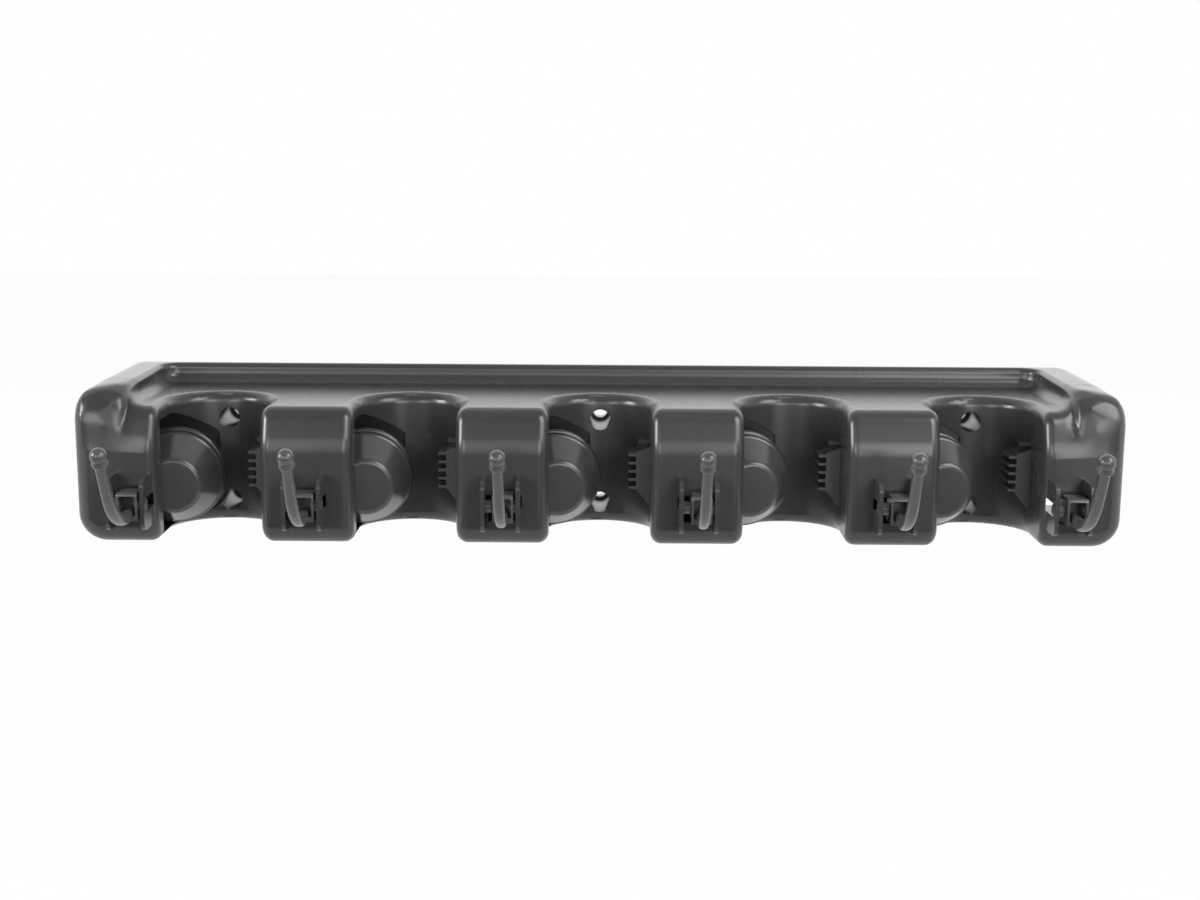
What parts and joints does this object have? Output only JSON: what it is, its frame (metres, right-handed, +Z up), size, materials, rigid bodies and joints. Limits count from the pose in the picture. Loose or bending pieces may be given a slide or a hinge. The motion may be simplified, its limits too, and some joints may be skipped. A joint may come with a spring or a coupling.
{
  "type": "wall tool holder",
  "caption": "Wall-mounted bar that holds broom and mop handles in rounded slots, each with a gravity roller and a ribbed grip pad, with folding ball-tipped hooks on the posts between.",
  "frame": {"origin": "centre of the wall screw pattern, on the wall plane at the back of the bar", "axes": "+X along the bar to the right as seen from the front, +Y into the wall, +Z up"},
  "size_m": [0.4032, 0.12, 0.061],
  "materials": {
    "body": "smooth moulded gloss",
    "hook": "smooth moulded gloss",
    "roller": "fine satin",
    "roller_cap": "smooth soft rubber",
    "pad": "matte soft rubber"
  },
  "bodies": {
    "bar": {"housing": "body", "grip_pad_1": "pad", "grip_pad_2": "pad", "grip_pad_3": "pad", "grip_pad_4": "pad", "grip_pad_5": "pad"},
    "axle_1": {"roller_axle_1": "roller", "roller_retainer_1": "roller"},
    "roller_1": {"roller_cap_1": "roller_cap", "roller_hub_1": "roller"},
    "axle_2": {"roller_axle_2": "roller", "roller_retainer_2": "roller"},
    "roller_2": {"roller_cap_2": "roller_cap", "roller_hub_2": "roller"},
    "axle_3": {"roller_axle_3": "roller", "roller_retainer_3": "roller"},
    "roller_3": {"roller_cap_3": "roller_cap", "roller_hub_3": "roller"},
    "axle_4": {"roller_axle_4": "roller", "roller_retainer_4": "roller"},
    "roller_4": {"roller_cap_4": "roller_cap", "roller_hub_4": "roller"},
    "axle_5": {"roller_axle_5": "roller", "roller_retainer_5": "roller"},
    "roller_5": {"roller_cap_5": "roller_cap", "roller_hub_5": "roller"},
    "hook_1": {"hook_1": "hook"},
    "hook_2": {"hook_2": "hook"},
    "hook_3": {"hook_3": "hook"},
    "hook_4": {"hook_4": "hook"},
    "hook_5": {"hook_5": "hook"},
    "hook_6": {"hook_6": "hook"}
  },
  "joints": [
    {"name": "axle_slide_1", "type": "slide", "parent": "bar", "child": "axle_1", "axis": [-0.8, 0, 0.6], "range_m": [0, 0.0135]},
    {"name": "roller_spin_1", "type": "hinge", "parent": "axle_1", "child": "roller_1", "pos_m": [-0.171, -0.0268, -0.0033], "axis": [0.1414, -0.9891, -0.0406], "continuous": true},
    {"name": "axle_slide_2", "type": "slide", "parent": "bar", "child": "axle_2", "axis": [-0.8, 0, 0.6], "range_m": [0, 0.0135]},
    {"name": "roller_spin_2", "type": "hinge", "parent": "axle_2", "child": "roller_2", "pos_m": [-0.096, -0.0268, -0.0033], "axis": [0.1414, -0.9891, -0.0406], "continuous": true},
    {"name": "axle_slide_3", "type": "slide", "parent": "bar", "child": "axle_3", "axis": [-0.8, 0, 0.6], "range_m": [0, 0.0135]},
    {"name": "roller_spin_3", "type": "hinge", "parent": "axle_3", "child": "roller_3", "pos_m": [-0.021, -0.0268, -0.0033], "axis": [0.1414, -0.9891, -0.0406], "continuous": true},
    {"name": "axle_slide_4", "type": "slide", "parent": "bar", "child": "axle_4", "axis": [-0.8, 0, 0.6], "range_m": [0, 0.0135]},
    {"name": "roller_spin_4", "type": "hinge", "parent": "axle_4", "child": "roller_4", "pos_m": [0.054, -0.0268, -0.0033], "axis": [0.1414, -0.9891, -0.0406], "continuous": true},
    {"name": "axle_slide_5", "type": "slide", "parent": "bar", "child": "axle_5", "axis": [-0.8, 0, 0.6], "range_m": [0, 0.0135]},
    {"name": "roller_spin_5", "type": "hinge", "parent": "axle_5", "child": "roller_5", "pos_m": [0.129, -0.0268, -0.0033], "axis": [0.1414, -0.9891, -0.0406], "continuous": true},
    {"name": "hook_fold_1", "type": "hinge", "parent": "bar", "child": "hook_1", "pos_m": [-0.1788, -0.0805, -0.0076], "axis": [-1, 0, 0], "range_deg": [0, 58]},
    {"name": "hook_fold_2", "type": "hinge", "parent": "bar", "child": "hook_2", "pos_m": [-0.1125, -0.0805, -0.0076], "axis": [-1, 0, 0], "range_deg": [0, 58]},
    {"name": "hook_fold_3", "type": "hinge", "parent": "bar", "child": "hook_3", "pos_m": [-0.0375, -0.0805, -0.0076], "axis": [-1, 0, 0], "range_deg": [0, 58]},
    {"name": "hook_fold_4", "type": "hinge", "parent": "bar", "child": "hook_4", "pos_m": [0.0375, -0.0805, -0.0076], "axis": [-1, 0, 0], "range_deg": [0, 58]},
    {"name": "hook_fold_5", "type": "hinge", "parent": "bar", "child": "hook_5", "pos_m": [0.1125, -0.0805, -0.0076], "axis": [-1, 0, 0], "range_deg": [0, 58]},
    {"name": "hook_fold_6", "type": "hinge", "parent": "bar", "child": "hook_6", "pos_m": [0.1788, -0.0805, -0.0076], "axis": [-1, 0, 0], "range_deg": [0, 58]}
  ]
}
